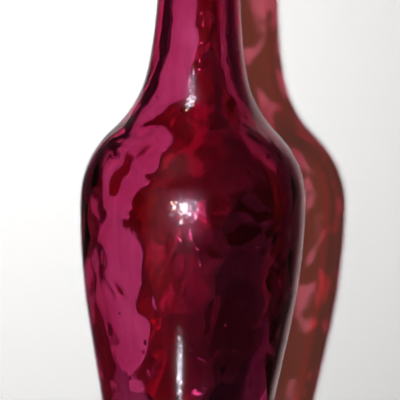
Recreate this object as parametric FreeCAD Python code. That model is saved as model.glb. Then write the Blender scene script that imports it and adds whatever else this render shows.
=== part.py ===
import FreeCAD, Part

import math
import os

# Hand-blown ruby glass bottle: a thick-walled baluster body with a long neck, a string lip that was
# applied to the neck as a second gather, and a hollow blown stopper that is held in a cork sleeve.
# Millimetres, +Z up. The origin is the centre of the ring that the bottle stands on.

# Driving dimensions of the blown shell
BODY_RADIUS = 45.0
BELLY_HEIGHT = 119.6
BELLY_BEND_RADIUS = 260.0
TAPER_ANGLE = 10.95
SHOULDER_BEND_RADIUS = 37.7
NECK_RADIUS = 16.1
NECK_STRAIGHT_LENGTH = 25.0
WALL = 5.5

# The hollow sweep from the shoulder to the neck: each bend's radius, and the lean where it ends
NECK_ROOT_RADIUS = 43.0
NECK_ROOT_END_LEAN = 13.0
NECK_TAPER_RADIUS = 110.0
NECK_TAPER_END_LEAN = 6.0
NECK_THROAT_RADIUS = 350.0

# Base of the shell, with its pushed-up kick
HEEL_RADIUS = 5.0
FOOT_RING_WIDTH = 8.2
FLOOR_THICKNESS = 6.5
KICK_HEIGHT = 7.0
KICK_EDGE_RADIUS = 1.5
FLOOR_CORNER_RADIUS = 6.0
RIM_RADIUS = 1.2

# Applied string lip
LIP_PROJECTION = 4.8
LIP_HEIGHT = 11.0
LIP_SETBACK = 2.5

# Cork sleeve
CORK_CLEARANCE = 0.1
CORK_PLUG_LENGTH = 22.0
CORK_FLANGE_RADIUS = 14.0
CORK_FLANGE_THICKNESS = 3.0
CORK_EDGE_RADIUS = 1.0

# Blown glass stopper
SHANK_RADIUS = 5.5
SHANK_CLEARANCE = 0.1
SHANK_BORE_RADIUS = 2.0
SHANK_LENGTH = 24.0
COLLAR_RADIUS = 13.0
COLLAR_HEIGHT = 4.5
COLLAR_EDGE_RADIUS = 1.9
STEM_RADIUS = 6.5
STEM_HEIGHT = 4.0
STEM_FILLET_RADIUS = 2.0
FINIAL_RADIUS = 17.0
FINIAL_WALL = 4.0
TIP_RADIUS = 2.5
TIP_RISE = 28.0
BUBBLE_TIP_RADIUS = 1.5


def cosine(degrees):
    return math.cos(math.radians(degrees))


def sine(degrees):
    return math.sin(math.radians(degrees))


def at(radius, height):
    """A point of a half section, which lies in the XZ plane."""
    return FreeCAD.Vector(radius, 0, height)


class Outline:
    """A half section, drawn point by point and then spun round the Z axis."""

    def __init__(self, radius, height, lean=0.0):
        self.start = at(radius, height)
        self.here = self.start
        self.lean = lean
        self.edges = []

    def line_to(self, radius, height):
        there = at(radius, height)
        self.edges.append(Part.LineSegment(self.here, there).toShape())
        self.here = there

    def arc_to(self, through, there):
        self.edges.append(Part.Arc(self.here, through, there).toShape())
        self.here = there

    def run_up_to(self, height):
        """A straight run along the present lean, which is in degrees towards the axis."""
        rise = height - self.here.z
        self.line_to(self.here.x - rise * math.tan(math.radians(self.lean)), height)

    def bend_to(self, lean, radius):
        """An arc of that radius, tangent to the last run, that ends at the new lean."""
        side = math.copysign(radius, lean - self.lean)

        def swung(angle):
            return at(
                self.here.x + side * (cosine(angle) - cosine(self.lean)),
                self.here.z + side * (sine(angle) - sine(self.lean)),
            )

        self.arc_to(swung((self.lean + lean) / 2), swung(lean))
        self.lean = lean

    def spun(self):
        """The closed solid of revolution."""
        if not self.here.isEqual(self.start, 1e-7):
            self.line_to(self.start.x, self.start.z)
        face = Part.Face(Part.Wire(self.edges))
        return face.revolve(at(0, 0), FreeCAD.Vector(0, 0, 1), 360)


def rounded(solid, radius, *rims):
    """The solid with a fillet on each circular rim, given as its radius and height."""
    edges = [
        edge
        for edge in solid.Edges
        if not edge.Degenerated
        and isinstance(edge.Curve, Part.Circle)
        and any(
            math.isclose(edge.Curve.Radius, rim_radius, abs_tol=1e-3)
            and math.isclose(edge.Curve.Center.z, height, abs_tol=1e-3)
            for rim_radius, height in rims
        )
    ]
    return solid.makeFillet(radius, edges)


# Places that follow from the driving dimensions
TAPER_TOP = BELLY_HEIGHT - BELLY_BEND_RADIUS * sine(TAPER_ANGLE)
TAPER_TOP_RADIUS = BODY_RADIUS - BELLY_BEND_RADIUS * (1 - cosine(TAPER_ANGLE))
BASE_RADIUS = TAPER_TOP_RADIUS - TAPER_TOP * math.tan(math.radians(TAPER_ANGLE))
KICK_RADIUS = BASE_RADIUS - FOOT_RING_WIDTH

NECK_BENDS_DROP = (
    NECK_TAPER_RADIUS * (cosine(NECK_TAPER_END_LEAN) - cosine(NECK_ROOT_END_LEAN))
    + NECK_THROAT_RADIUS * (1 - cosine(NECK_TAPER_END_LEAN))
)
SHOULDER_LEAN = math.degrees(
    math.acos(
        (
            SHOULDER_BEND_RADIUS
            + NECK_ROOT_RADIUS * cosine(NECK_ROOT_END_LEAN)
            + NECK_BENDS_DROP
            - (BODY_RADIUS - NECK_RADIUS)
        )
        / (SHOULDER_BEND_RADIUS + NECK_ROOT_RADIUS)
    )
)
THROAT_HEIGHT = (
    BELLY_HEIGHT
    + SHOULDER_BEND_RADIUS * sine(SHOULDER_LEAN)
    + NECK_ROOT_RADIUS * (sine(SHOULDER_LEAN) - sine(NECK_ROOT_END_LEAN))
    + NECK_TAPER_RADIUS * (sine(NECK_ROOT_END_LEAN) - sine(NECK_TAPER_END_LEAN))
    + NECK_THROAT_RADIUS * sine(NECK_TAPER_END_LEAN)
)
MOUTH_HEIGHT = THROAT_HEIGHT + NECK_STRAIGHT_LENGTH
BORE_RADIUS = NECK_RADIUS - WALL
SEAT_HEIGHT = MOUTH_HEIGHT + CORK_FLANGE_THICKNESS
COLLAR_TOP = SEAT_HEIGHT + COLLAR_HEIGHT
STEM_TOP = COLLAR_TOP + STEM_HEIGHT
FINIAL_CENTRE = STEM_TOP + math.sqrt(FINIAL_RADIUS**2 - STEM_RADIUS**2)


def draw_wall(outline, inset):
    """Draws one face of the glass wall upwards to the mouth, inset from the outer face."""
    outline.run_up_to(TAPER_TOP + inset * sine(TAPER_ANGLE))
    outline.bend_to(0, BELLY_BEND_RADIUS - inset)
    outline.bend_to(SHOULDER_LEAN, SHOULDER_BEND_RADIUS - inset)
    outline.bend_to(NECK_ROOT_END_LEAN, NECK_ROOT_RADIUS + inset)
    outline.bend_to(NECK_TAPER_END_LEAN, NECK_TAPER_RADIUS + inset)
    outline.bend_to(0, NECK_THROAT_RADIUS + inset)
    outline.run_up_to(MOUTH_HEIGHT)


def draw_dome(outline, foot_radius, foot_height):
    """Draws a spherical dome as high as the kick, from its crown on the axis down to its foot."""
    sphere_radius = (foot_radius**2 + KICK_HEIGHT**2) / (2 * KICK_HEIGHT)
    centre_height = foot_height + KICK_HEIGHT - sphere_radius
    halfway = foot_radius / 2
    side_height = centre_height + math.sqrt(sphere_radius**2 - halfway**2)
    outline.arc_to(at(halfway, side_height), at(foot_radius, foot_height))


def blank():
    """The outer form of the shell, solid throughout, with its kick and rounded heel."""
    outline = Outline(0, KICK_HEIGHT, lean=-TAPER_ANGLE)
    draw_dome(outline, KICK_RADIUS, 0)
    outline.line_to(BASE_RADIUS, 0)
    draw_wall(outline, inset=0)
    outline.line_to(0, MOUTH_HEIGHT)
    solid = outline.spun()
    solid = rounded(solid, HEEL_RADIUS, (BASE_RADIUS, 0))
    return rounded(solid, KICK_EDGE_RADIUS, (KICK_RADIUS, 0))


def cavity():
    """The space inside the shell, from its floor to the mouth."""
    inner_base_radius = BASE_RADIUS - WALL / cosine(TAPER_ANGLE)
    floor_radius = inner_base_radius + FLOOR_THICKNESS * math.tan(math.radians(TAPER_ANGLE))
    outline = Outline(0, KICK_HEIGHT + FLOOR_THICKNESS, lean=-TAPER_ANGLE)
    draw_dome(outline, floor_radius - FLOOR_CORNER_RADIUS, FLOOR_THICKNESS)
    outline.line_to(floor_radius, FLOOR_THICKNESS)
    draw_wall(outline, inset=WALL)
    outline.line_to(0, MOUTH_HEIGHT)
    return rounded(outline.spun(), FLOOR_CORNER_RADIUS, (floor_radius, FLOOR_THICKNESS))


def bottle_shell():
    """Body and neck, blown in one piece, with a fire-polished rim."""
    shell = blank().cut(cavity())
    return rounded(shell, RIM_RADIUS, (NECK_RADIUS, MOUTH_HEIGHT), (BORE_RADIUS, MOUTH_HEIGHT))


def applied_lip():
    """A ring of glass, wound round the neck just below the mouth and rounded with a tool."""
    top = MOUTH_HEIGHT - LIP_SETBACK
    outline = Outline(NECK_RADIUS, top - LIP_HEIGHT)
    outline.arc_to(at(NECK_RADIUS + LIP_PROJECTION, top - LIP_HEIGHT / 2), at(NECK_RADIUS, top))
    return outline.spun()


def cork_sleeve():
    """A flanged plug of cork that fills the mouth, bored for the stopper's shank."""
    plug_radius = BORE_RADIUS - CORK_CLEARANCE
    plug_bottom = MOUTH_HEIGHT - CORK_PLUG_LENGTH
    bore = SHANK_RADIUS + SHANK_CLEARANCE
    outline = Outline(bore, plug_bottom)
    outline.line_to(plug_radius, plug_bottom)
    outline.line_to(plug_radius, MOUTH_HEIGHT)
    outline.line_to(CORK_FLANGE_RADIUS, MOUTH_HEIGHT)
    outline.line_to(CORK_FLANGE_RADIUS, SEAT_HEIGHT)
    outline.line_to(bore, SEAT_HEIGHT)
    return rounded(
        outline.spun(),
        CORK_EDGE_RADIUS,
        (plug_radius, plug_bottom),
        (CORK_FLANGE_RADIUS, MOUTH_HEIGHT),
        (CORK_FLANGE_RADIUS, SEAT_HEIGHT),
    )


def glass_stopper():
    """A blown drop with a drop-shaped bubble, on a collar and a tubular shank that is open at its foot."""
    shank_foot = SEAT_HEIGHT - SHANK_LENGTH
    cone_lean = math.degrees(math.asin((FINIAL_RADIUS - TIP_RADIUS) / TIP_RISE))
    tip_centre = FINIAL_CENTRE + TIP_RISE
    tip_middle = (90 + cone_lean) / 2
    bubble_radius = FINIAL_RADIUS - FINIAL_WALL
    bubble_foot = FINIAL_CENTRE - math.sqrt(bubble_radius**2 - SHANK_BORE_RADIUS**2)
    bubble_tip = FINIAL_CENTRE + (bubble_radius - BUBBLE_TIP_RADIUS) / sine(cone_lean)

    outline = Outline(SHANK_BORE_RADIUS, shank_foot)
    outline.line_to(SHANK_RADIUS, shank_foot)
    outline.line_to(SHANK_RADIUS, SEAT_HEIGHT)
    outline.line_to(COLLAR_RADIUS, SEAT_HEIGHT)
    outline.line_to(COLLAR_RADIUS, COLLAR_TOP)
    outline.line_to(STEM_RADIUS, COLLAR_TOP)
    outline.line_to(STEM_RADIUS, STEM_TOP)
    outline.arc_to(
        at(FINIAL_RADIUS, FINIAL_CENTRE),
        at(FINIAL_RADIUS * cosine(cone_lean), FINIAL_CENTRE + FINIAL_RADIUS * sine(cone_lean)),
    )
    outline.line_to(TIP_RADIUS * cosine(cone_lean), tip_centre + TIP_RADIUS * sine(cone_lean))
    outline.arc_to(
        at(TIP_RADIUS * cosine(tip_middle), tip_centre + TIP_RADIUS * sine(tip_middle)),
        at(0, tip_centre + TIP_RADIUS),
    )
    outline.line_to(0, bubble_tip + BUBBLE_TIP_RADIUS)
    outline.arc_to(
        at(BUBBLE_TIP_RADIUS * cosine(tip_middle), bubble_tip + BUBBLE_TIP_RADIUS * sine(tip_middle)),
        at(BUBBLE_TIP_RADIUS * cosine(cone_lean), bubble_tip + BUBBLE_TIP_RADIUS * sine(cone_lean)),
    )
    outline.line_to(bubble_radius * cosine(cone_lean), FINIAL_CENTRE + bubble_radius * sine(cone_lean))
    outline.arc_to(at(bubble_radius, FINIAL_CENTRE), at(SHANK_BORE_RADIUS, bubble_foot))
    solid = outline.spun()
    solid = rounded(solid, COLLAR_EDGE_RADIUS, (COLLAR_RADIUS, SEAT_HEIGHT), (COLLAR_RADIUS, COLLAR_TOP))
    return rounded(solid, STEM_FILLET_RADIUS, (STEM_RADIUS, COLLAR_TOP), (STEM_RADIUS, STEM_TOP))


def main():
    os.makedirs("parts", exist_ok=True)
    for make in (bottle_shell, applied_lip, cork_sleeve, glass_stopper):
        solid = make()
        solid.exportStep(f"parts/{make.__name__}.step")
        print(f"{make.__name__}: {solid.Volume / 1000:.1f} cm3, valid {solid.isValid()}")
    print(f"mouth at {MOUTH_HEIGHT:.2f}, base radius {BASE_RADIUS:.2f}, shoulder lean {SHOULDER_LEAN:.2f}")


main()
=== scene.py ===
"""The look of the ruby glass bottle: rippled blown glass, a cork and a stopper, by a lit white wall."""
import math
import random
from typing import NamedTuple

import bmesh
import bpy
from mathutils import Matrix, Vector, noise


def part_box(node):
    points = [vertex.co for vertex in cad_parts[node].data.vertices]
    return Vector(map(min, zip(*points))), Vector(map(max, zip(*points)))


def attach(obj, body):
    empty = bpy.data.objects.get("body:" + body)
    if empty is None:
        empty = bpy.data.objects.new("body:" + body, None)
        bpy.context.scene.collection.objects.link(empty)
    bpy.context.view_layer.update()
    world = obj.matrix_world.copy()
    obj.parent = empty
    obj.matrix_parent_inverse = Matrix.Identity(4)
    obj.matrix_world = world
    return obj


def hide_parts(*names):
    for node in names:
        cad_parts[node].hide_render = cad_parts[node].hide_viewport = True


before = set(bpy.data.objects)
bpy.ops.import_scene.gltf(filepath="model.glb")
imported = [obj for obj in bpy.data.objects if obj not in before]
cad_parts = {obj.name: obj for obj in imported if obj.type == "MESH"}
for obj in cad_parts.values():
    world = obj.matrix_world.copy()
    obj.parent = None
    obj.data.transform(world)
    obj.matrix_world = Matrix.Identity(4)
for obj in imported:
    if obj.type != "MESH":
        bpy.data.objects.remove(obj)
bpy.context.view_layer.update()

MM = 0.001


class Dent(NamedTuple):
    """A dent in the wall's inner face. Its turn from the front and its lean are in degrees."""

    turn: float
    height: float
    half_width: float
    half_length: float
    lean: float
    depth: float


class Grain(NamedTuple):
    """A noise over an object's own metres, with the count of its cells per metre."""

    cells: float
    detail: float
    stretch: tuple = (1, 1, 1)
    turn: tuple = (0, 0, 0)


class PaintedLightCard(NamedTuple):
    """A card of painted shade or painted reflection, just clear of the wall, which only reflected, refracted
    or bounced rays meet.

    Bounced rays were mirrored inside the glass. The card's inner edge goes up by (across, height) points,
    and over the length of its fade its colour changes from near to far.
    """

    name: str
    kind: str
    edge: tuple
    near: tuple
    far: tuple
    clear: float = 2 * MM
    fade: float = 60 * MM


# Tints of the glints
COOL_LIGHT = (0.86, 0.88, 1, 1)
WARM_LIGHT = (1, 0.6, 0.4, 1)
ROSE_LIGHT = (1, 0.42, 0.68, 1)
LILAC_LIGHT = (0.8, 0.74, 1, 1)


class Glint(NamedTuple):
    """A soft card of light, which shows only as a reflection, or only through the glass.

    Its outline may be ragged and its light speckled. Its cells are counted per metre, across and upwards.
    """

    name: str
    place: tuple
    width: float
    rise: float
    drop: float
    radiance: float
    tint: tuple = COOL_LIGHT
    ragged: float = 0
    speckle: float = 0
    cells: tuple = (1, 1)
    through: bool = False


# Sizes and places that the frame gives
lip_low, lip_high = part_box("applied_lip")
cork_low, cork_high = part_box("cork_sleeve")
stopper_low, stopper_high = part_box("glass_stopper")
MOUTH_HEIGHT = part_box("bottle_shell")[1].z
SEAT_HEIGHT = cork_high.z
FINIAL_RADIUS = stopper_high.x
CORK_FLANGE_RADIUS = cork_high.x

# Bends of the blown shell, as in the solid
BELLY_HEIGHT = 119.6 * MM
BELLY_BEND = 260 * MM
TAPER_LEAN = 10.95
SHOULDER_BEND = 37.7 * MM
SHOULDER_LEAN = 47.2
NECK_ROOT_BEND = 43 * MM
NECK_ROOT_LEAN = 13
NECK_TAPER_BEND = 110 * MM
NECK_TAPER_LEAN = 6
NECK_THROAT_BEND = 350 * MM
NECK_RADIUS = 16.1 * MM
NECK_STRAIGHT = 25 * MM
WALL = 5.5 * MM
HEEL_BEND = 5 * MM
BASE_RADIUS = 26.68 * MM
KICK_RADIUS = 18.48 * MM
KICK_HEIGHT = 7 * MM
FLOOR_THICKNESS = 6.5 * MM
FLOOR_BEND = 6 * MM
RIM_BEND = 1.2 * MM

# Cork and stopper, as in their solids
CORK_CLEARANCE = 0.1 * MM
CORK_EDGE = 1 * MM
SHANK_RADIUS = 5.5 * MM
SHANK_BORE = 2 * MM
COLLAR_RADIUS = 13 * MM
COLLAR_HEIGHT = 4.5 * MM
COLLAR_EDGE = 1.9 * MM
STEM_RADIUS = 6.5 * MM
STEM_HEIGHT = 4 * MM
STEM_FILLET = 2 * MM
FINIAL_WALL = 4 * MM
TIP_RADIUS = 2.5 * MM
TIP_RISE = 28 * MM
BUBBLE_TIP = 1.5 * MM

# Ripples of the inner face, which end below the cork and are deeper low down
SWELL_LENGTH = 24 * MM
SWELL_HEIGHT = 0.6 * MM
RIPPLE_LENGTH = 9 * MM
RIPPLE_HEIGHT = 0.4 * MM
RIPPLE_END = (2 * MM, 18 * MM)
WORKED_HEIGHTS = (50 * MM, 110 * MM)
WORKED_SWELL = 0.6
WORKED_RIPPLE = 0.15

# Slight waves of the outer skin, free of the foot and the lip, and the scar under the base
WAVE_LENGTH = 45 * MM
WAVE_HEIGHT = 0.1 * MM
WAVE_START = (4 * MM, 20 * MM)
WAVE_END = 20 * MM
PONTIL_RADIUS = 9 * MM
PONTIL_EDGE = 0.7 * PONTIL_RADIUS
PONTIL_GRAIN = PONTIL_RADIUS / 3
PONTIL_HEIGHT = 0.5 * MM

# The stopper's ripples, which start above its collar
BUBBLE_HEIGHT = 0.3 * MM
STOPPER_WAVE_LENGTH = WAVE_LENGTH / 2
STOPPER_WAVE_START = 8 * MM

# How often the corners of each glass section are melted
BOTTLE_MELTS = 6
STOPPER_MELTS = 3

# A second, finer ripple on each ripple: its share, its fineness and its shift
OVERTONE_SHARE = 0.2
OVERTONE_FINENESS = 2.1
OVERTONE_SHIFT = Vector((7, 3, 5))

# Seeds in the wall: their count, the start of their draws, radii, shares of the wall's depth, and stretch
SEED_COUNT = 60
SEED_START = 4
SEED_RADII = (0.2 * MM, 0.6 * MM)
SEED_DEPTHS = (0.3, 0.7)
SEED_STRETCH = (1.0, 2.4)

# Folds and dents of the blowing, which end this many half lengths above and below their middles
DENT_REACH = 3
FOLDS = (
    Dent(-47, 125 * MM, 5 * MM, 5 * MM, 25, -1.9 * MM),
    Dent(-41, 131.5 * MM, 3.4 * MM, 2.2 * MM, 40, -1.2 * MM),
)
DENTS = (
    Dent(-47, 85.3 * MM, 2.0 * MM, 4.5 * MM, -40, 0.5 * MM),
    Dent(46, 103.5 * MM, 2.2 * MM, 6.5 * MM, 25, 0.45 * MM),
    Dent(29, 130 * MM, 1.6 * MM, 5.0 * MM, -30, 0.35 * MM),
    Dent(-50, 113.8 * MM, 1.1 * MM, 1.4 * MM, 0, 0.14 * MM),
    Dent(-39, 110 * MM, 1.1 * MM, 1.6 * MM, 0, 0.14 * MM),
    Dent(-45, 136.4 * MM, 1.1 * MM, 1.8 * MM, 30, 0.14 * MM),
    Dent(-10, 101 * MM, 1.8 * MM, 2.8 * MM, 10, 0.6 * MM),
    Dent(-4, 83 * MM, 1.2 * MM, 3.5 * MM, -65, 0.4 * MM),
    Dent(9, 72 * MM, 1.3 * MM, 2 * MM, 20, 0.4 * MM),
    Dent(-18, 80 * MM, 2.2 * MM, 9 * MM, -15, 0.35 * MM),
    Dent(17, 77 * MM, 1.7 * MM, 10 * MM, 10, 0.5 * MM),
    Dent(-26, 64 * MM, 2.4 * MM, 4 * MM, 40, 0.5 * MM),
)

# Dents by chance: their count, the start of their draws, and the ranges of their sizes
CHANCE_DENTS = 60
CHANCE_START = 11
CHANCE_HALF_WIDTHS = (1.5 * MM, 3 * MM)
CHANCE_HALF_LENGTHS = (2 * MM, 6 * MM)
CHANCE_LEANS = (-50, 50)
CHANCE_DEPTHS = (-0.25 * MM, 0.3 * MM)

# Pits and grains in the cork's cut faces
PIT_LENGTH = 2.2 * MM
PIT_STRETCH = 0.6
PIT_LEVELS = (0.15, 0.5)
PIT_DEPTH = 0.35 * MM
CORK_GRAIN_LENGTH = 0.9 * MM
CORK_GRAIN_DEPTH = 0.1 * MM

# Mesh fineness
PROFILE_STEP = 0.9 * MM
LEAST_BEND_STEPS = 6
TURN_STEPS = 300

# The melt's tint and depth, and what it so takes from red, green and blue in each metre
GLASS_IOR = 1.51
GLASS_TINT = (0.839, 0.285, 0.57)
GLASS_DENSITY = 378
GLASS_LOSS = [GLASS_DENSITY * (1 - share) for share in GLASS_TINT]

# Upright cords and clouds in the melt
WHITE = (1, 1, 1, 1)
CORDS = Grain(260, 2, stretch=(1, 1, 0.07))
CORD_LEVELS = (0.35, 0.65)
CORD_TINT = (0.92, 0.86, 0.92, 1)
CLOUDS = Grain(70, 1, stretch=(1, 1, 0.6))
CLOUD_LEVELS = (0.38, 0.6)
CLOUD_TINT = (0.94, 0.76, 0.85, 1)

# The glass's polish: a thin bloom, haze, scratches where it is worn, and a fine unevenness
BLOOM_WEIGHT = 0.08
BLOOM_ROUGHNESS = 0.24
NOISE_MIDDLE = 0.5
HAZE = Grain(45, 3)
HAZE_LEVELS = (0.5, 0.75)
HAZE_ROUGHNESS = 0.03
WEAR = Grain(30, 1)
WEAR_LEVELS = (0.6, 0.64)
SCRATCHES = Grain(160, 0, stretch=(1, 1, 0.06), turn=(0, 0.6, 0))
SCRATCH_LEVELS = (0.002, 0.006)
SCRATCH_ROUGHNESS = 0.2
FINE = Grain(330, 2)
FINE_STRENGTH = 0.1
FINE_HEIGHT = 0.1 * MM

# The outer skin's mark, the key light's turn from +Y towards +X, and the depth over which its tint sets in
OUTSIDE = "outside"
LIGHT_TURN = 9.3
LEAVING_DEPTH = 1 * MM

# The longest extra way through the glass that is made good in the shadow, for each colour
MADE_GOOD = (22 * MM, 10.5 * MM, 10.5 * MM)

# The shadow's painted brown, and the painted pink caustic spots in it
SHADOW_BROWN = (0.45, 0.2, 0.027, 1)
SHADOW_PINK = (1.6, 1.9, 1.0, 1)
SPOT_CELLS = 75
SPOT_DETAIL = 1.5
SPOT_DISTORTION = 0.8
SPOT_LEVELS = (0.5, 0.68)

# The shadow's painted level from the side near the key light to the far side, steeper at the foot, and past
# the edge
SHADOW_LEVELS = ((0, 0.75), (0.2, 0.75), (0.37, 0.36), (0.52, 0.125), (0.65, 0.062), (0.85, 0.04))
SHADOW_GAIN = 1.55
STEEP_HEIGHTS = (70 * MM, 125 * MM)
STEEPNESS = 1.8
OPEN_EDGES = (13 * MM, 18 * MM)
OPEN_LEVEL = 0.475

# Cork's colours, grains and pores
CORK_SHADES = ((0.3, (0.30, 0.16, 0.075, 1)), (0.7, (0.60, 0.38, 0.21, 1)))
CORK_GRAIN = Grain(700, 5)
CORK_GRAIN_LEVELS = (0.3, 0.7)
CORK_ROUGHNESS = (0.95, 0.72)
CORK_PORES = Grain(420, 2, stretch=(1, 1, 0.45))
PORE_LEVELS = (0.6, 0.7)
PORE_SHARE = 0.85
PORE_COLOUR = (0.07, 0.035, 0.018, 1)
CORK_BUMP_STRENGTH = 0.6
CORK_BUMP_HEIGHT = 0.4 * MM

# The photograph's frame: its side in pixels, a pixel's size at the bottle, and its lean
PHOTO_SIDE = 400
PIXEL = 0.4 * MM
CAMERA_DISTANCE = 0.62
CAMERA_HEIGHT = 119.8 * MM
AXIS_OFFSET = 2.7 * MM
CAMERA_ROLL = 1.65
SENSOR_WIDTH = 36.0

# Wall and floor, which fade into the pale background over these distances from the bottle
WALL_DISTANCE = 0.103
WALL_REACH = 0.6
WALL_TOP = 0.7
WALL_FADE = (0.3, 0.62)
FLOOR_REACH = 2
FLOOR_FADE = (0.2, 0.52)
FLOOR_PALENESS = 0.45
STAGE_WHITE = (0.9, 0.9, 0.9, 1)
PALE = 0.9

# The room: its tint, its light on the wall, and its light in the glass
ROOM_TINT = (1.35, 1, 0.76, 1)
ROOM_FILL = 0.034
ROOM_MIRRORED = 0.012

# Lamps
KEY_PLACE = Vector((-0.100, -0.613, 0.128))
KEY_AIM = Vector((-0.12, WALL_DISTANCE, 0.26))
KEY_SIZE = 0.016
KEY_POWER = 1.91
KEY_SPREAD = 102
BACK_PLACE = Vector((0.1, 0.45, 0.9))
BACK_AIM = Vector((0, 0, 0))
BACK_SIZE = 0.35
BACK_POWER = 11
BACK_SPREAD = 180

# Painted shade and painted reflections: cards which stand for the dark room and for the shadow's depth behind
# the glass
BLACK = (0.012, 0.012, 0.012, 1)
EMBER = (0.25, 0.1, 0.1, 1)
ROSY = (0.5, 0.37, 0.33, 1)
DUSK = (0.4, 0.37, 0.37, 1)
PAINTED_LIGHT_CARDS = (
    # Painted shade seen through the glass, left of the shadow
    PaintedLightCard(
        "left_painted_shade", "refracted",
        (
            (-0.115, 0), (-0.115, 0.052), (-0.16, 0.057), (-0.16, 0.07),
            (-0.091, 0.078), (-0.091, 0.13), (-0.07, 0.17), (-0.07, WALL_TOP),
        ),
        BLACK, (0.05, 0.05, 0.05, 1),
    ),
    # Painted dim red shade, which rays mirrored inside the glass meet at the left rim
    PaintedLightCard(
        "left_rim_painted_shade", "bounced",
        (
            (-0.05, 0), (-0.05, 0.045), (-0.2, 0.05), (-0.2, 0.078),
            (-0.04, 0.082), (-0.04, 0.122), (-0.2, 0.126),
        ),
        EMBER, EMBER, clear=3 * MM,
    ),
    # A painted dark reflection on the left rim
    PaintedLightCard(
        "left_painted_dark_reflection", "reflected",
        ((-0.091, 0), (-0.091, WALL_TOP)),
        (0.04, 0.04, 0.04, 1), BLACK,
    ),
    # Painted shade seen through the glass, right of the shadow
    PaintedLightCard(
        "right_painted_shade", "refracted",
        ((0.055, 0), (0.066, 0.12), (0.069, 0.2), (0.069, WALL_TOP)),
        (0.016, 0.006, 0.005, 1), (0.12, 0.1, 0.1, 1),
    ),
    # Painted shade seen through the glass, over the far part of the shadow
    PaintedLightCard(
        "right_shade", "refracted",
        ((0.005, 0), (0.02, 0.115), (0.04, 0.125), (0.04, WALL_TOP)),
        ROSY, ROSY, clear=1 * MM,
    ),
    # Painted shade seen through the glass, low on the left
    PaintedLightCard(
        "low_left_shade", "refracted",
        ((-0.001, 0), (-0.012, 0.03), (-0.03, 0.034), (-0.045, 0.041)),
        DUSK, DUSK, clear=1 * MM,
    ),
    # Painted shade seen through the glass, low on the right
    PaintedLightCard(
        "low_right_shade", "refracted",
        ((0.012, 0), (0.018, 0.035), (0.036, 0.05), (0.06, 0.062), (0.075, 0.07)),
        (0.012, 0.004, 0.004, 1), (0.03, 0.02, 0.02, 1), clear=2.5 * MM,
    ),
    # A painted pink reflection on the right rim
    PaintedLightCard(
        "right_painted_reflection", "reflected",
        ((0.077, 0), (0.077, WALL_TOP)),
        (1, 0.6, 0.62, 1), (0.1, 0.06, 0.06, 1), fade=85 * MM,
    ),
)

# Glints round the key lamp, placed from it, and in the room. They face the body's middle
BODY_MIDDLE = Vector((0, 0, 0.12))
KEY_GLINTS = (
    Glint("key_glint", (0.015, 0, -0.023), 0.4, 0.06, 0.055, 150, ragged=1, speckle=0.95, cells=(16, 55)),
    Glint("key_core", (0.015, 0, -0.023), 0.15, 0.034, 0.026, 80, ragged=1.4, speckle=0.5, cells=(40, 130)),
    Glint("inner_glint", (0, 0, 0), 0.16, 0.04, 0.03, 60, through=True),
    Glint("key_halo", (0.015, -0.01, -0.018), 0.8, 0.25, 0.16, 3.2, ROSE_LIGHT, ragged=0.3, cells=(5, 12)),
    Glint("cool_glow", (0.09, -0.02, -0.022), 0.26, 0.08, 0.05, 3.5, LILAC_LIGHT),
    Glint(
        "warm_spark", (-0.09, 0.02, -0.014), 0.17, 0.04, 0.032, 200, WARM_LIGHT,
        ragged=1, speckle=0.98, cells=(20, 64),
    ),
    Glint("rose_spark", (0.13, 0.02, -0.0455), 0.06, 0.014, 0.014, 32, ROSE_LIGHT),
    Glint("rose_tail", (0.09, 0.03, -0.0375), 0.12, 0.02, 0.02, 8, ROSE_LIGHT),
    Glint("rose_band", (0.08, 0.04, -0.08), 0.12, 0.07, 0.07, 1.2, ROSE_LIGHT),
)
ROOM_GLINTS = (
    Glint("veil", (-0.5, -0.72, 0.12), 0.7, 0.6, 0.6, 0.25),
    Glint("ceiling_glow", (-0.3, -0.75, 0.75), 1.3, 0.65, 0.65, 0.3),
)

# Glints close before the neck, which face straight back
BACKWARDS = Vector((0, 1, 0))
NECK_GLINTS = (
    Glint(
        "neck_glint", (-0.0029, -0.028, 0.171), 0.0085, 0.006, 0.0065, 30, LILAC_LIGHT,
        ragged=0.8, speckle=0.85, cells=(500, 900),
    ),
    Glint("neck_core", (-0.0028, -0.0281, 0.1638), 0.0085, 0.0055, 0.004, 28, ragged=2, cells=(500, 700)),
    Glint("neck_tip", (-0.0024, -0.0282, 0.1742), 0.003, 0.0025, 0.0025, 14, ROSE_LIGHT),
    Glint("neck_branch", (-0.0051, -0.0282, 0.1718), 0.003, 0.0035, 0.0035, 12, ROSE_LIGHT),
    Glint("neck_spark", (-0.0043, -0.0283, 0.1597), 0.0036, 0.0022, 0.0016, 30, WARM_LIGHT),
    Glint("neck_halo", (-0.0033, -0.0284, 0.167), 0.022, 0.009, 0.006, 3, ROSE_LIGHT),
)

# Glints low before the body, which face its foot
FOOT_AIM = Vector((0, -0.035, 0.054))
FOOT_GLINTS = (
    Glint(
        "low_glint", (-0.0215, -0.133, 0.005), 0.026, 0.025, 0.032, 70,
        ragged=1, speckle=0.75, cells=(110, 420),
    ),
    Glint("low_halo", (-0.0215, -0.133, 0.005), 0.06, 0.03, 0.035, 2),
)

# A glint's card in shares of its light's reach, its dots in shares of a cell, and its ragged outline's detail
CARD_REACH = 1.4
DOT_SIZES = (0.1, 0.5)
RAGGED_DETAIL = 2


def sine(degrees):
    return math.sin(math.radians(degrees))


def cosine(degrees):
    return math.cos(math.radians(degrees))


def smooth_step(low, high, value):
    part = min(max((value - low) / (high - low), 0), 1)
    return part * part * (3 - 2 * part)


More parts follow.
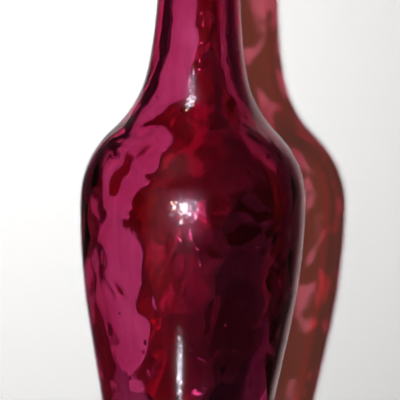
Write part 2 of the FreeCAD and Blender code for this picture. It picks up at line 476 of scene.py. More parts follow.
class Section:
    """A half section, drawn with a pen. Its heading leans from +Z towards the axis, in degrees."""

    def __init__(self, radius, height, lean):
        self.points = [Vector((radius, height))]
        self.lean = lean

    @property
    def here(self):
        return self.points[-1]

    def run(self, length):
        heading = Vector((-sine(self.lean), cosine(self.lean)))
        start = self.here.copy()
        steps = max(1, round(length / PROFILE_STEP))
        for step in range(1, steps + 1):
            self.points.append(start + heading * (length * step / steps))

    def run_to_height(self, height):
        self.run((height - self.here.y) / cosine(self.lean))

    def run_to_radius(self, radius):
        self.run((self.here.x - radius) / sine(self.lean))

    def bend(self, lean, radius):
        start = self.here.copy()
        side = math.copysign(radius, lean - self.lean)
        length = radius * math.radians(abs(lean - self.lean))
        steps = max(LEAST_BEND_STEPS, round(length / PROFILE_STEP))
        for step in range(1, steps + 1):
            angle = self.lean + (lean - self.lean) * step / steps
            turned = Vector((cosine(angle) - cosine(self.lean), sine(angle) - sine(self.lean)))
            self.points.append(start + side * turned)
        self.lean = lean


def dome(crown_height, foot_radius):
    """Points of a spherical dome as high as the kick, from the axis to just short of its foot."""
    sphere = (foot_radius**2 + KICK_HEIGHT**2) / (2 * KICK_HEIGHT)
    sweep = math.asin(foot_radius / sphere)
    steps = round(sphere * sweep / PROFILE_STEP)
    return [
        Vector((
            sphere * math.sin(sweep * step / steps),
            crown_height - sphere * (1 - math.cos(sweep * step / steps)),
        ))
        for step in range(steps)
    ]


def outer_section():
    """The outside of the bottle, from the middle of the kick to the mouth's rim."""
    heel_start = BASE_RADIUS - HEEL_BEND * math.tan(math.radians((90 - TAPER_LEAN) / 2))
    pen = Section(KICK_RADIUS, 0, -90)
    pen.run_to_radius(heel_start)
    pen.bend(-TAPER_LEAN, HEEL_BEND)
    pen.run_to_height(BELLY_HEIGHT - BELLY_BEND * sine(TAPER_LEAN))
    pen.bend(0, BELLY_BEND)
    pen.bend(SHOULDER_LEAN, SHOULDER_BEND)
    pen.bend(NECK_ROOT_LEAN, NECK_ROOT_BEND)
    pen.bend(NECK_TAPER_LEAN, NECK_TAPER_BEND)
    pen.bend(0, NECK_THROAT_BEND)
    pen.run_to_height(lip_low.z)
    lip_half = (lip_high.z - lip_low.z) / 2
    lip_reach = lip_high.x - NECK_RADIUS
    lip_bend = (lip_half**2 + lip_reach**2) / (2 * lip_reach)
    lip_lean = math.degrees(math.asin(min(1, lip_half / lip_bend)))
    pen.lean = -lip_lean
    pen.bend(lip_lean, lip_bend)
    pen.lean = 0
    pen.run_to_height(MOUTH_HEIGHT - RIM_BEND)
    pen.bend(90, RIM_BEND)
    pen.run_to_radius(NECK_RADIUS - WALL + RIM_BEND)
    return dome(KICK_HEIGHT, KICK_RADIUS) + pen.points


def inner_section():
    """The inside of the bottle, from the mouth's rim down to the middle of the floor."""
    inner_base = BASE_RADIUS - WALL / cosine(TAPER_LEAN)
    floor_radius = inner_base + FLOOR_THICKNESS * math.tan(math.radians(TAPER_LEAN))
    pen = Section(NECK_RADIUS - WALL + RIM_BEND, MOUTH_HEIGHT, 90)
    pen.bend(180, RIM_BEND)
    pen.run_to_height(MOUTH_HEIGHT - NECK_STRAIGHT)
    pen.bend(180 + NECK_TAPER_LEAN, NECK_THROAT_BEND + WALL)
    pen.bend(180 + NECK_ROOT_LEAN, NECK_TAPER_BEND + WALL)
    pen.bend(180 + SHOULDER_LEAN, NECK_ROOT_BEND + WALL)
    pen.bend(180, SHOULDER_BEND - WALL)
    pen.bend(180 - TAPER_LEAN, BELLY_BEND - WALL)
    corner = FLOOR_BEND * (1 - sine(TAPER_LEAN))
    pen.run_to_height(FLOOR_THICKNESS + corner)
    pen.bend(90, FLOOR_BEND)
    foot = dome(FLOOR_THICKNESS + KICK_HEIGHT, floor_radius - FLOOR_BEND)
    return pen.points[1:] + foot[::-1]


def softened(points, passes):
    """The section with its corners melted, as fire-polishing leaves them. Its ends stay in place."""
    for _ in range(passes):
        middle = [
            (before + 2 * point + after) / 4
            for before, point, after in zip(points, points[1:], points[2:])
        ]
        points = [points[0]] + middle + [points[-1]]
    return points


def spin(name, points, swell):
    """A closed mesh: the section spun round Z, each point moved along its normal by swell(index, place).

    A section that starts and ends on the axis is closed there, and any other is a ring.
    """
    ring_shaped = points[0].x > 0
    rings = range(len(points)) if ring_shaped else range(1, len(points) - 1)
    verts = [place for index in rings for place in spun_ring(points, index, swell)]
    faces = band_faces(len(rings), ring_shaped)
    if not ring_shaped:
        verts += [Vector((0, 0, points[0].y)), Vector((0, 0, points[-1].y))]
        faces += pole_faces(len(rings))
    mesh = bpy.data.meshes.new(name)
    mesh.from_pydata(verts, [], faces)
    mesh.shade_smooth()
    piece = bpy.data.objects.new(name, mesh)
    bpy.context.scene.collection.objects.link(piece)
    return piece


def spun_ring(points, index, swell):
    """The places of one point of the section, all the way round."""
    run = points[(index + 1) % len(points)] - points[index - 1]
    normal = Vector((run.y, -run.x)).normalized()
    places = []
    for turn in range(TURN_STEPS):
        angle = 2 * math.pi * turn / TURN_STEPS
        ray = Vector((math.cos(angle), math.sin(angle), 0))
        place = ray * points[index].x + Vector((0, 0, points[index].y))
        push = ray * normal.x + Vector((0, 0, normal.y))
        places.append(place + push * swell(index, place))
    return places


def spun_point(ring, turn):
    """The number of a point in the spun mesh."""
    return ring * TURN_STEPS + turn % TURN_STEPS


def band_faces(count, ring_shaped):
    """The faces between neighbouring rings. In a ring-shaped piece the last ring meets the first."""
    faces = []
    for turn in range(TURN_STEPS):
        for ring in range(count if ring_shaped else count - 1):
            after = (ring + 1) % count
            faces.append((
                spun_point(ring, turn), spun_point(ring, turn + 1),
                spun_point(after, turn + 1), spun_point(after, turn),
            ))
    return faces


def pole_faces(count):
    """The faces that close the first and the last ring on the axis, at the two points after the rings."""
    first_pole = count * TURN_STEPS
    last_pole = first_pole + 1
    last_ring = count - 1
    faces = []
    for turn in range(TURN_STEPS):
        faces.append((first_pole, spun_point(0, turn + 1), spun_point(0, turn)))
        faces.append((last_pole, spun_point(last_ring, turn), spun_point(last_ring, turn + 1)))
    return faces


def ripple(place, length):
    """Rounded unevenness between about -1 and 1, at two scales."""
    spot = place / length
    return noise.noise(spot) + OVERTONE_SHARE * noise.noise(spot * OVERTONE_FINENESS + OVERTONE_SHIFT)


def bottle_glass():
    """The bottle in one melt: shell and lip, rippled and dented inside, nearly true outside, with seeds."""
    outer = outer_section()
    points = softened(outer + inner_section(), BOTTLE_MELTS)
    inside = len(outer)
    dents = DENTS + chance_dents()

    def swell(index, place):
        return outer_swell(place) if index < inside else inner_swell(place, dents)

    piece = spin("bottle_glass", points, swell)
    mark_outside(piece.data, lambda point: point < (inside - 1) * TURN_STEPS)
    add_seeds(piece.data, points[:inside])
    return piece


def outer_swell(place):
    """How far the outer skin swells: slight waves, and a rough scar in the kick."""
    free = smooth_step(*WAVE_START, place.z) * smooth_step(0, WAVE_END, lip_low.z - place.z)
    scar = 1 - smooth_step(PONTIL_EDGE, PONTIL_RADIUS, Vector(place.xy).length)
    scar *= 1 - smooth_step(KICK_HEIGHT, 2 * KICK_HEIGHT, place.z)
    scarred = scar * PONTIL_HEIGHT * ripple(place, PONTIL_GRAIN)
    return free * WAVE_HEIGHT * ripple(place, WAVE_LENGTH) + scarred


def inner_swell(place, dents):
    """How far the inner face swells into the hollow: ripples, less dents and folds, free of the cork."""
    free = smooth_step(*RIPPLE_END, cork_low.z - place.z)
    worked = 1 - smooth_step(*WORKED_HEIGHTS, place.z)
    broad = (1 + WORKED_SWELL * worked) * SWELL_HEIGHT * noise.noise(place / SWELL_LENGTH)
    fine = (1 + WORKED_RIPPLE * worked) * RIPPLE_HEIGHT * ripple(place, RIPPLE_LENGTH)
    dented = sum(dent_depth(dent, place) for dent in dents)
    folded = sum(dent_depth(fold, place, tilted=True) for fold in FOLDS)
    return free * (broad + fine - dented - folded)


def chance_dents():
    """Dents all round the bottle, which differ in size and lean."""
    draw = random.Random(CHANCE_START)
    return tuple(
        Dent(
            draw.uniform(-180, 180),
            draw.uniform(FLOOR_THICKNESS + KICK_HEIGHT, cork_low.z),
            draw.uniform(*CHANCE_HALF_WIDTHS),
            draw.uniform(*CHANCE_HALF_LENGTHS),
            draw.uniform(*CHANCE_LEANS),
            draw.uniform(*CHANCE_DEPTHS),
        )
        for _ in range(CHANCE_DENTS)
    )


def dent_depth(dent, place, tilted=False):
    """How deep a dent is at a place on the wall: a bell curve, or a slope with long flanks if tilted."""
    rise = place.z - dent.height
    if abs(rise) > DENT_REACH * dent.half_length:
        return 0
    offset = math.atan2(place.x, -place.y) - math.radians(dent.turn)
    offset = (offset + math.pi) % (2 * math.pi) - math.pi
    side = offset * Vector(place.xy).length
    across = (side * cosine(dent.lean) - rise * sine(dent.lean)) / dent.half_width
    along = (side * sine(dent.lean) + rise * cosine(dent.lean)) / dent.half_length
    profile = across / (1 + across * across) if tilted else math.exp(-across * across)
    return dent.depth * profile * math.exp(-along * along)


def mark_outside(mesh, is_outside):
    """Stores 1 on the points of the outer skin and 0 elsewhere, for the tint of the shadow."""
    skin = mesh.attributes.new(OUTSIDE, "FLOAT", "POINT")
    for point, value in enumerate(skin.data):
        value.value = float(is_outside(point))


def add_seeds(mesh, outline):
    """Small stretched bubbles in the middle of the wall. Their faces look inwards, away from the glass."""
    draw = random.Random(SEED_START)
    lowest = FLOOR_THICKNESS + KICK_HEIGHT
    wall = [
        index for index, point in enumerate(outline[:-1])
        if lowest < point.y < lip_low.z and point.x > NECK_RADIUS - WALL / 2
    ]
    shape = bmesh.new()
    for _ in range(SEED_COUNT):
        index = draw.choice(wall)
        run = (outline[index + 1] - outline[index - 1]).normalized()
        depth = WALL * draw.uniform(*SEED_DEPTHS)
        spot = outline[index] + Vector((-run.y, run.x)) * depth
        radius = draw.uniform(*SEED_RADII)
        stretch = draw.uniform(*SEED_STRETCH)
        turn = Matrix.Rotation(draw.uniform(0, 2 * math.pi), 4, "Z")
        lean = Matrix.Rotation(-math.atan2(run.x, run.y), 4, "Y").inverted()
        place = turn @ Matrix.Translation((spot.x, 0, spot.y)) @ lean
        size = Matrix.Diagonal((radius, radius, radius * stretch, 1))
        bmesh.ops.create_icosphere(shape, subdivisions=2, radius=1, matrix=place @ size)
    bmesh.ops.reverse_faces(shape, faces=shape.faces)
    for face in shape.faces:
        face.smooth = True
    shape.from_mesh(mesh)
    shape.to_mesh(mesh)
    shape.free()


def cork_piece():
    """The flanged cork plug, bored for the stopper's shank, with pits in its cut faces."""
    bore = SHANK_RADIUS + CORK_CLEARANCE
    plug = NECK_RADIUS - WALL - CORK_CLEARANCE
    pen = Section(bore, cork_low.z, -90)
    pen.run_to_radius(plug - CORK_EDGE)
    pen.bend(0, CORK_EDGE)
    pen.run_to_height(MOUTH_HEIGHT)
    pen.lean = -90
    pen.run_to_radius(CORK_FLANGE_RADIUS - CORK_EDGE)
    pen.bend(0, CORK_EDGE)
    pen.run_to_height(SEAT_HEIGHT - CORK_EDGE)
    pen.bend(90, CORK_EDGE)
    pen.run_to_radius(bore)
    pen.lean = 180
    pen.run_to_height(cork_low.z)
    pen.points.pop()
    return spin("cork_plug", pen.points, cork_swell)


def cork_swell(index, place):
    """How far the cork's faces swell: always inwards, at pits and grains."""
    spot = place / PIT_LENGTH
    pit = smooth_step(*PIT_LEVELS, noise.noise(Vector((spot.x, spot.y, spot.z * PIT_STRETCH))))
    grain = (1 + noise.noise(place / CORK_GRAIN_LENGTH)) / 2
    return -PIT_DEPTH * pit - CORK_GRAIN_DEPTH * grain


def stopper_glass():
    """The hollow drop, drawn from the top of its bubble, down the bore and up the outside to its tip."""
    collar_top = SEAT_HEIGHT + COLLAR_HEIGHT
    stem_top = collar_top + STEM_HEIGHT
    centre = stem_top + math.sqrt(FINIAL_RADIUS**2 - STEM_RADIUS**2)
    bubble = FINIAL_RADIUS - FINIAL_WALL
    cone_lean = math.degrees(math.asin((FINIAL_RADIUS - TIP_RADIUS) / TIP_RISE))
    bubble_rise = (bubble - BUBBLE_TIP) / sine(cone_lean)
    pen = Section(0, centre + bubble_rise + BUBBLE_TIP, 270)
    pen.bend(180 + cone_lean, BUBBLE_TIP)
    pen.run(bubble_rise * cosine(cone_lean))
    pen.bend(90 + math.degrees(math.asin(SHANK_BORE / bubble)), bubble)
    pen.lean = 180
    pen.run_to_height(stopper_low.z)
    inside = len(pen.points)
    pen.lean = -90
    pen.run_to_radius(SHANK_RADIUS)
    pen.lean = 0
    pen.run_to_height(SEAT_HEIGHT)
    pen.lean = -90
    pen.run_to_radius(COLLAR_RADIUS - COLLAR_EDGE)
    pen.bend(0, COLLAR_EDGE)
    pen.run_to_height(collar_top - COLLAR_EDGE)
    pen.bend(90, COLLAR_EDGE)
    pen.run_to_radius(STEM_RADIUS + STEM_FILLET)
    pen.bend(0, STEM_FILLET)
    pen.run_to_height(stem_top)
    pen.lean = -math.degrees(math.acos(STEM_RADIUS / FINIAL_RADIUS))
    pen.bend(cone_lean, FINIAL_RADIUS)
    pen.run(TIP_RISE * cosine(cone_lean))
    pen.bend(90, TIP_RADIUS)

    def swell(index, place):
        free = smooth_step(0, STOPPER_WAVE_START, place.z - collar_top)
        if index < inside:
            return free * BUBBLE_HEIGHT * ripple(place, RIPPLE_LENGTH)
        return free * WAVE_HEIGHT * ripple(place, STOPPER_WAVE_LENGTH)

    piece = spin("stopper_glass", softened(pen.points, STOPPER_MELTS), swell)
    mark_outside(piece.data, lambda point: point >= (inside - 1) * TURN_STEPS)
    return piece


def new_paint(name):
    """A new material, with its nodes and links."""
    material = bpy.data.materials.new(name)
    material.use_nodes = True
    return material, material.node_tree.nodes, material.node_tree.links


def ranged(nodes, links, value, low, high, to_low, to_high):
    """A value eased from one range into another."""
    node = nodes.new("ShaderNodeMapRange")
    node.interpolation_type = "SMOOTHSTEP"
    for name, number in zip(("From Min", "From Max", "To Min", "To Max"), (low, high, to_low, to_high)):
        node.inputs[name].default_value = number
    links.new(value, node.inputs["Value"])
    return node.outputs["Result"]


def math_node(nodes, links, operation, first, second=0):
    """What an operation makes of two values, or of the first alone. Each may be a number or a socket."""
    node = nodes.new("ShaderNodeMath")
    node.operation = operation
    for socket, value in zip(node.inputs, (first, second)):
        if isinstance(value, (int, float)):
            socket.default_value = value
        else:
            links.new(value, socket)
    return node.outputs["Value"]


def vector_math(nodes, links, operation, first, second=(0, 0, 0)):
    """A vector node's output: a number for a dot product or a length, and a vector otherwise."""
    node = nodes.new("ShaderNodeVectorMath")
    node.operation = operation
    links.new(first, node.inputs[0])
    node.inputs[1].default_value = second
    return node.outputs["Value" if operation in ("DOT_PRODUCT", "LENGTH") else "Vector"]


def ramp(nodes, links, value, stops, easing):
    """A colour that follows (place, colour) stops, with places from 0 to 1."""
    node = nodes.new("ShaderNodeValToRGB")
    node.color_ramp.interpolation = easing
    elements = node.color_ramp.elements
    while len(elements) < len(stops):
        elements.new(0.5)
    for element, (place, colour) in zip(elements, stops):
        element.position = place
        element.color = colour
    links.new(value, node.inputs["Fac"])
    return node.outputs["Color"]


def blended(nodes, links, blend, factor, first, second):
    """Two colours mixed by a factor. Each may be a number, a colour or a socket."""
    node = nodes.new("ShaderNodeMix")
    node.data_type = "RGBA"
    node.blend_type = blend
    for socket, value in zip((node.inputs[0], node.inputs[6], node.inputs[7]), (factor, first, second)):
        if isinstance(value, (int, float, tuple)):
            socket.default_value = value
        else:
            links.new(value, socket)
    return node.outputs[2]


def noise_node(nodes, links, place, grain):
    """The noise of a grain, between 0 and 1."""
    spread = nodes.new("ShaderNodeMapping")
    spread.inputs["Rotation"].default_value = grain.turn
    spread.inputs["Scale"].default_value = grain.stretch
    links.new(place, spread.inputs["Vector"])
    node = nodes.new("ShaderNodeTexNoise")
    node.inputs["Scale"].default_value = grain.cells
    node.inputs["Detail"].default_value = grain.detail
    links.new(spread.outputs["Vector"], node.inputs["Vector"])
    return node.outputs["Fac"]


def bumped(nodes, links, shader, height, strength, distance):
    """Gives a shader the bumps of a height."""
    bump = nodes.new("ShaderNodeBump")
    bump.inputs["Strength"].default_value = strength
    bump.inputs["Distance"].default_value = distance
    links.new(height, bump.inputs["Height"])
    links.new(bump.outputs["Normal"], shader.inputs["Normal"])


def mixed(nodes, links, share, first, second):
    """Two shaders, the second by a share."""
    mix = nodes.new("ShaderNodeMixShader")
    links.new(share, mix.inputs["Fac"])
    links.new(first, mix.inputs[1])
    links.new(second, mix.inputs[2])
    return mix.outputs["Shader"]


def unmirrored(nodes, links):
    """1 on a ray that no face has mirrored yet, and 0 on any other."""
    bounces = nodes.new("ShaderNodeLightPath").outputs["Glossy Depth"]
    return math_node(nodes, links, "LESS_THAN", bounces, 0.5)


def ruby_glass():
    """Deep ruby glass: clear to the eye, coloured by its depth, and it lets tinted light through."""
    material, nodes, links = new_paint("ruby_glass")
    shader = nodes["Principled BSDF"]
    shader.inputs["IOR"].default_value = GLASS_IOR
    shader.inputs["Transmission Weight"].default_value = 1.0
    shader.inputs["Coat Weight"].default_value = BLOOM_WEIGHT
    shader.inputs["Coat Roughness"].default_value = BLOOM_ROUGHNESS
    place = nodes.new("ShaderNodeTexCoord").outputs["Object"]
    links.new(melt_tint(nodes, links, place), shader.inputs["Base Color"])
    links.new(polish(nodes, links, place), shader.inputs["Roughness"])
    bumped(nodes, links, shader, noise_node(nodes, links, place, FINE), FINE_STRENGTH, FINE_HEIGHT)
    # Shadow rays pass with a tint that paints the shadow: its brown, pink caustic spots and level
    passing = nodes.new("ShaderNodeBsdfTransparent")
    links.new(painted_shadow_tint(nodes, links), passing.inputs["Color"])
    shadow_ray = nodes.new("ShaderNodeLightPath").outputs["Is Shadow Ray"]
    surface = mixed(nodes, links, shadow_ray, shader.outputs["BSDF"], passing.outputs["BSDF"])
    links.new(surface, nodes["Material Output"].inputs["Surface"])
    depth = nodes.new("ShaderNodeVolumeAbsorption")
    depth.inputs["Color"].default_value = (*GLASS_TINT, 1)
    depth.inputs["Density"].default_value = GLASS_DENSITY
    links.new(depth.outputs["Volume"], nodes["Material Output"].inputs["Volume"])
    return material


def melt_tint(nodes, links, place):
    """The melt's uneven tint: upright cords, and clouds."""
    cords = ranged(nodes, links, noise_node(nodes, links, place, CORDS), *CORD_LEVELS, 0, 1)
    cords = blended(nodes, links, "MIX", cords, CORD_TINT, WHITE)
    clouds = ranged(nodes, links, noise_node(nodes, links, place, CLOUDS), *CLOUD_LEVELS, 0, 1)
    clouds = blended(nodes, links, "MIX", clouds, CLOUD_TINT, WHITE)
    return blended(nodes, links, "MULTIPLY", 1.0, cords, clouds)


def polish(nodes, links, place):
    """How rough the glass is: hazed in places, and finely scratched where it is worn."""
    haze = ranged(nodes, links, noise_node(nodes, links, place, HAZE), *HAZE_LEVELS, 0, HAZE_ROUGHNESS)
    worn = ranged(nodes, links, noise_node(nodes, links, place, WEAR), *WEAR_LEVELS, 0, 1)
    lines = math_node(nodes, links, "SUBTRACT", noise_node(nodes, links, place, SCRATCHES), NOISE_MIDDLE)
    lines = math_node(nodes, links, "ABSOLUTE", lines)
    scratches = ranged(nodes, links, lines, *SCRATCH_LEVELS, SCRATCH_ROUGHNESS, 0)
    scratches = math_node(nodes, links, "MULTIPLY", scratches, worn)
    return math_node(nodes, links, "MAXIMUM", haze, scratches)


def painted_shadow_tint(nodes, links):
    """The tint of lamp light behind the glass, which paints the shadow: brown, with painted pink caustic
    spots, at a level painted by place.

    It acts once on each ray, where the ray leaves the outer skin. The light stays as it is when a piece
    turns, so its way is measured in the room, while the spots go with the piece.
    """
    place = nodes.new("ShaderNodeNewGeometry").outputs["Position"]
    along = vector_math(nodes, links, "DOT_PRODUCT", place, (sine(LIGHT_TURN), cosine(LIGHT_TURN), 0))
    across = vector_math(nodes, links, "DOT_PRODUCT", place, (cosine(LIGHT_TURN), -sine(LIGHT_TURN), 0))
    height = vector_math(nodes, links, "DOT_PRODUCT", place, (0, 0, 1))
    radius = vector_math(nodes, links, "LENGTH", vector_math(nodes, links, "MULTIPLY", place, (1, 1, 0)))
    tint = blended(nodes, links, "MIX", painted_caustic_spots(nodes, links), SHADOW_BROWN, SHADOW_PINK)
    tint = blended(nodes, links, "MULTIPLY", 1.0, tint, made_good(nodes, links, along, across, radius))
    tint = blended(nodes, links, "MULTIPLY", 1.0, tint, shadow_level(nodes, links, height, across, radius))
    skin = nodes.new("ShaderNodeAttribute")
    skin.attribute_name = OUTSIDE
    leaving = ranged(nodes, links, along, 0, LEAVING_DEPTH, 0, 1)
    leaving = math_node(nodes, links, "MULTIPLY", leaving, skin.outputs["Fac"])
    return blended(nodes, links, "MIX", leaving, WHITE, tint)


def painted_caustic_spots(nodes, links):
    """Painted caustic light: pink spots from a noise over the piece, which stand for light that the uneven
    wall would gather.
    """
    spots = nodes.new("ShaderNodeTexNoise")
    spots.inputs["Scale"].default_value = SPOT_CELLS
    spots.inputs["Detail"].default_value = SPOT_DETAIL
    spots.inputs["Distortion"].default_value = SPOT_DISTORTION
    links.new(nodes.new("ShaderNodeTexCoord").outputs["Object"], spots.inputs["Vector"])
    return ranged(nodes, links, spots.outputs["Fac"], *SPOT_LEVELS, 0, 1)


def made_good(nodes, links, along, across, radius):
    """The colour that makes good what a skimming ray loses on its long way through the wall.

    Real light is bent out of that way. Seen along the ray, the wall's inner face has a half chord, hollow.
    """
    inner = math_node(nodes, links, "SUBTRACT", radius, WALL)
    inner = math_node(nodes, links, "MULTIPLY", inner, inner)
    hollow = math_node(nodes, links, "SUBTRACT", inner, math_node(nodes, links, "MULTIPLY", across, across))
    hollow = math_node(nodes, links, "SQRT", math_node(nodes, links, "MAXIMUM", hollow, 0))
    extra = math_node(nodes, links, "SUBTRACT", math_node(nodes, links, "SUBTRACT", along, hollow), WALL)
    colour = nodes.new("ShaderNodeCombineColor")
    for socket, loss, most in zip(colour.inputs, GLASS_LOSS, MADE_GOOD):
        limited = math_node(nodes, links, "MINIMUM", extra, most / 2)
        power = math_node(nodes, links, "MULTIPLY", limited, 2 * loss)
        links.new(math_node(nodes, links, "EXPONENT", power), socket)
    return colour.outputs["Color"]


def shadow_level(nodes, links, height, across, radius):
    """How much light the painted shadow keeps: less towards the far side and the foot, more past the edge."""
    share = math_node(nodes, links, "DIVIDE", across, radius)
    share = math_node(nodes, links, "MULTIPLY", math_node(nodes, links, "ADD", share, 1), 0.5)
    greys = [(place, (level, level, level, 1)) for place, level in SHADOW_LEVELS]
    hidden = ramp(nodes, links, share, greys, "EASE")
    steepness = ranged(nodes, links, height, *STEEP_HEIGHTS, STEEPNESS, 1)
    hidden = math_node(nodes, links, "POWER", hidden, steepness)
    hidden = math_node(nodes, links, "MULTIPLY", hidden, SHADOW_GAIN)
    from_edge = math_node(nodes, links, "SUBTRACT", radius, across)
    seen = ranged(nodes, links, from_edge, *OPEN_EDGES, OPEN_LEVEL, 0)
    return math_node(nodes, links, "MAXIMUM", hidden, seen)


def cork_bark():
    """Cork: warm tan grains, with dark streaks where the bark's pores were cut across."""
    material, nodes, links = new_paint("cork_bark")
    shader = nodes["Principled BSDF"]
    place = nodes.new("ShaderNodeTexCoord").outputs["Object"]
    grain = noise_node(nodes, links, place, CORK_GRAIN)
    pores = ranged(nodes, links, noise_node(nodes, links, place, CORK_PORES), *PORE_LEVELS, 0, PORE_SHARE)
    tan = ramp(nodes, links, grain, CORK_SHADES, "LINEAR")
    links.new(blended(nodes, links, "MIX", pores, tan, PORE_COLOUR), shader.inputs["Base Color"])
    links.new(ranged(nodes, links, grain, *CORK_GRAIN_LEVELS, *CORK_ROUGHNESS), shader.inputs["Roughness"])
    height = math_node(nodes, links, "SUBTRACT", grain, pores)
    bumped(nodes, links, shader, height, CORK_BUMP_STRENGTH, CORK_BUMP_HEIGHT)
    return material


def plane(name, corners, material):
    """A flat card of the stage."""
    mesh = bpy.data.meshes.new(name)
    mesh.from_pydata(corners, [], [range(len(corners))])
    mesh.materials.append(material)
    piece = bpy.data.objects.new(name, mesh)
    bpy.context.scene.collection.objects.link(piece)
    return piece


def matt_shader(nodes):
    """A material's own shader, without any gloss."""
    shader = nodes["Principled BSDF"]
    shader.inputs["Roughness"].default_value = 1.0
    shader.inputs["Specular IOR Level"].default_value = 0.0
    return shader


def open_where(nodes, links, surface, share):
    """Ends a material with a surface that is clear by a share."""
    clear = nodes.new("ShaderNodeBsdfTransparent")
    opened = mixed(nodes, links, share, surface, clear.outputs["BSDF"])
    links.new(opened, nodes["Material Output"].inputs["Surface"])


def stage_paint(name, paleness, distances):
    """Matt white. To the eye it is paler by a share, and far from the bottle it is the pale background.

    It is open from behind.
    """
    material, nodes, links = new_paint(name)
    shader = matt_shader(nodes)
    shader.inputs["Base Color"].default_value = STAGE_WHITE
    side = nodes.new("ShaderNodeNewGeometry").outputs
    far = ranged(nodes, links, vector_math(nodes, links, "LENGTH", side["Position"]), *distances, paleness, 1)
    path = nodes.new("ShaderNodeLightPath").outputs
    looked = math_node(nodes, links, "MAXIMUM", path["Is Camera Ray"], path["Is Transmission Ray"])
    glow = nodes.new("ShaderNodeEmission")
    glow.inputs["Color"].default_value = WHITE
    glow.inputs["Strength"].default_value = PALE
    share = math_node(nodes, links, "MULTIPLY", far, looked)
    surface = mixed(nodes, links, share, shader.outputs["BSDF"], glow.outputs["Emission"])
    open_where(nodes, links, surface, side["Backfacing"])
    return material


def painted_light_paint(painted_card, start):
    """Matt paint for painted shade and painted reflections, which changes with its distance from the middle,
    from one colour to another.

    It is open from behind, and for bounced rays it is open to all rays that no inner face has mirrored.
    """
    material, nodes, links = new_paint(painted_card.name)
    shader = matt_shader(nodes)
    side = nodes.new("ShaderNodeNewGeometry").outputs
    across = vector_math(nodes, links, "DOT_PRODUCT", side["Position"], (1, 0, 0))
    across = math_node(nodes, links, "ABSOLUTE", across)
    share = ranged(nodes, links, across, start, start + painted_card.fade, 0, 1)
    links.new(blended(nodes, links, "MIX", share, painted_card.near, painted_card.far), shader.inputs["Base Color"])
    clear = side["Backfacing"]
    if painted_card.kind == "bounced":
        clear = math_node(nodes, links, "MAXIMUM", clear, unmirrored(nodes, links))
    open_where(nodes, links, shader.outputs["BSDF"], clear)
    return material


def put_up(painted_card):
    """Stands a card of painted shade or painted reflection before the wall, from its inner edge out to the
    wall's end.
    """
    depth = WALL_DISTANCE - painted_card.clear
    start = min(abs(across) for across, height in painted_card.edge)
    outer = math.copysign(WALL_REACH, painted_card.edge[0][0])
    rim = [*painted_card.edge, (outer, painted_card.edge[-1][1]), (outer, painted_card.edge[0][1])]
    corners = [(across, depth, height) for across, height in (rim if outer < 0 else rim[::-1])]
    card = plane(painted_card.name, corners, painted_light_paint(painted_card, start))
    card.visible_camera = False
    card.visible_diffuse = False
    card.visible_shadow = False
    card.visible_glossy = painted_card.kind == "reflected"
    card.visible_transmission = painted_card.kind in ("refracted", "bounced")


def card_distance(nodes, links, place, glint):
    """The distance from a glint's middle, which is 1 at its ragged outline."""
    across = vector_math(nodes, links, "DOT_PRODUCT", place, (2 / glint.width, 0, 0))
    above = vector_math(nodes, links, "DOT_PRODUCT", place, (0, 1 / glint.rise, 0))
    below = vector_math(nodes, links, "DOT_PRODUCT", place, (0, -1 / glint.drop, 0))
    upright = math_node(nodes, links, "MAXIMUM", above, below)
    across = math_node(nodes, links, "MULTIPLY", across, across)
    upright = math_node(nodes, links, "MULTIPLY", upright, upright)
    distance = math_node(nodes, links, "SQRT", math_node(nodes, links, "ADD", across, upright))
    grain = noise_node(nodes, links, place, Grain(1, RAGGED_DETAIL, stretch=(*glint.cells, 1)))
    rough = math_node(nodes, links, "SUBTRACT", grain, NOISE_MIDDLE)
    return math_node(nodes, links, "ADD", distance, math_node(nodes, links, "MULTIPLY", rough, glint.ragged))


def sparkle(nodes, links, place, glint):
    """The share of light that a glint's speckles leave."""
    dots = nodes.new("ShaderNodeTexVoronoi")
    dots.inputs["Scale"].default_value = 1
    links.new(vector_math(nodes, links, "MULTIPLY", place, (*glint.cells, 0)), dots.inputs["Vector"])
    return ranged(nodes, links, dots.outputs["Distance"], *DOT_SIZES, 1, 1 - glint.speckle)


def soft_light(glint):
    """Clear, with light that fades out from a glint's middle."""
    material, nodes, links = new_paint(glint.name)
    nodes.remove(nodes["Principled BSDF"])
    place = nodes.new("ShaderNodeTexCoord").outputs["Object"]
    fade = ranged(nodes, links, card_distance(nodes, links, place, glint), 0, 1, 1, 0)
    light = math_node(nodes, links, "MULTIPLY", fade, fade)
    light = math_node(nodes, links, "MULTIPLY", light, sparkle(nodes, links, place, glint))
    emission = nodes.new("ShaderNodeEmission")
    emission.inputs["Color"].default_value = glint.tint
    links.new(math_node(nodes, links, "MULTIPLY", light, glint.radiance), emission.inputs["Strength"])
    both = nodes.new("ShaderNodeAddShader")
    links.new(emission.outputs["Emission"], both.inputs[0])
    links.new(nodes.new("ShaderNodeBsdfTransparent").outputs["BSDF"], both.inputs[1])
    links.new(both.outputs["Shader"], nodes["Material Output"].inputs["Surface"])
    return material


def hang(glint, place, aim):
    """Hangs a glint's card at a place, so that it faces its aim."""
    edge = CARD_REACH * glint.width / 2
    foot = -CARD_REACH * glint.drop
    head = CARD_REACH * glint.rise
    corners = [(-edge, foot, 0), (edge, foot, 0), (edge, head, 0), (-edge, head, 0)]
    card = plane(glint.name, corners, soft_light(glint))
    card.location = place
    card.rotation_euler = facing(place, aim)
    card.visible_camera = False
    card.visible_diffuse = False
    card.visible_glossy = not glint.through
    card.visible_transmission = glint.through
    card.visible_shadow = False


def facing(place, aim):
    """The turn of a lamp or a card at a place, towards its aim."""
    return (aim - place).to_track_quat("-Z", "Y").to_euler()


def lamp(name, place, aim, size, power, spread):
    """A round lamp that the camera doesn't see."""
    data = bpy.data.lights.new(name, "AREA")
    data.shape = "ELLIPSE"
    data.size = size
    data.size_y = size
    data.energy = power
    data.spread = math.radians(spread)
    piece = bpy.data.objects.new(name, data)
    piece.location = place
    piece.rotation_euler = facing(place, aim)
    piece.visible_camera = False
    bpy.context.scene.collection.objects.link(piece)
    return piece


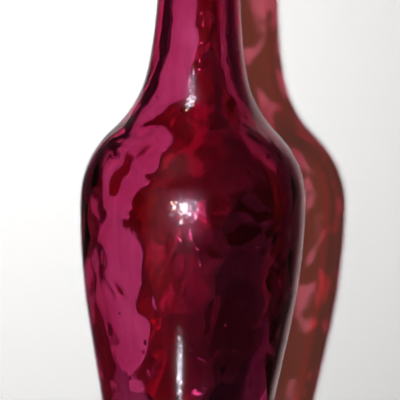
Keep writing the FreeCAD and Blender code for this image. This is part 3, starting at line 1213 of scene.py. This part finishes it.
def build_wall():
    reach = WALL_REACH
    back = WALL_DISTANCE
    top = WALL_TOP
    corners = [(-reach, back, 0), (reach, back, 0), (reach, back, top), (-reach, back, top)]
    plane("stage_wall", corners, stage_paint("wall_paint", 0, WALL_FADE))


def build_floor():
    reach = FLOOR_REACH
    corners = [(-reach, -reach, 0), (reach, -reach, 0), (reach, reach, 0), (-reach, reach, 0)]
    floor = plane("stage_floor", corners, stage_paint("floor_paint", FLOOR_PALENESS, FLOOR_FADE))
    floor.visible_diffuse = False
    floor.visible_glossy = False


def build_lamps():
    """The small hard key lamp, whose reflections the glints stand for, and a soft lamp behind."""
    key = lamp("key", KEY_PLACE, KEY_AIM, KEY_SIZE, KEY_POWER, KEY_SPREAD)
    key.visible_glossy = False
    lamp("back", BACK_PLACE, BACK_AIM, BACK_SIZE, BACK_POWER, BACK_SPREAD)


def build_glints():
    for glint in KEY_GLINTS:
        hang(glint, KEY_PLACE + Vector(glint.place), BODY_MIDDLE)
    for glint in ROOM_GLINTS:
        hang(glint, Vector(glint.place), BODY_MIDDLE)
    for glint in NECK_GLINTS:
        hang(glint, Vector(glint.place), Vector(glint.place) + BACKWARDS)
    for glint in FOOT_GLINTS:
        hang(glint, Vector(glint.place), FOOT_AIM)


def build_room():
    """A dim warm room, which is the pale background to the eye and straight through the glass."""
    world = bpy.data.worlds.new("room")
    bpy.context.scene.world = world
    world.use_nodes = True
    nodes = world.node_tree.nodes
    links = world.node_tree.links
    path = nodes.new("ShaderNodeLightPath").outputs
    dim = nodes["Background"]
    dim.inputs["Color"].default_value = ROOM_TINT
    level = ranged(nodes, links, path["Is Diffuse Ray"], 0, 1, ROOM_MIRRORED, ROOM_FILL)
    links.new(level, dim.inputs["Strength"])
    pale = nodes.new("ShaderNodeBackground")
    pale.inputs["Color"].default_value = WHITE
    pale.inputs["Strength"].default_value = PALE
    through = math_node(nodes, links, "MULTIPLY", path["Is Transmission Ray"], unmirrored(nodes, links))
    looked = math_node(nodes, links, "MAXIMUM", path["Is Camera Ray"], through)
    room = mixed(nodes, links, looked, dim.outputs["Background"], pale.outputs["Background"])
    links.new(room, nodes["World Output"].inputs["Surface"])


def build_stage():
    build_wall()
    build_floor()
    for painted_card in PAINTED_LIGHT_CARDS:
        put_up(painted_card)
    build_lamps()
    build_glints()
    build_room()


def build_camera():
    """The camera at the photograph's place, level but for its roll."""
    data = bpy.data.cameras.new("camera")
    data.sensor_width = SENSOR_WIDTH
    data.lens = SENSOR_WIDTH * CAMERA_DISTANCE / (PHOTO_SIDE * PIXEL)
    camera = bpy.data.objects.new("camera", data)
    place = Matrix.Translation((AXIS_OFFSET, -CAMERA_DISTANCE, CAMERA_HEIGHT))
    level = Matrix.Rotation(math.radians(90), 4, "X")
    roll = Matrix.Rotation(math.radians(CAMERA_ROLL), 4, "Z")
    camera.matrix_world = place @ level @ roll
    bpy.context.scene.collection.objects.link(camera)
    bpy.context.scene.camera = camera


def main():
    scene = bpy.context.scene
    scene.view_settings.view_transform = "Standard"
    scene.cycles.caustics_reflective = False
    scene.cycles.caustics_refractive = False
    glass = ruby_glass()
    bottle = bottle_glass()
    bottle.data.materials.append(glass)
    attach(bottle, "bottle")
    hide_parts("bottle_shell", "applied_lip")
    stopper = stopper_glass()
    stopper.data.materials.append(glass)
    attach(stopper, "stopper")
    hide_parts("glass_stopper")
    cork = cork_piece()
    cork.data.materials.append(cork_bark())
    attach(cork, "cork")
    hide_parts("cork_sleeve")
    build_stage()
    build_camera()


main()
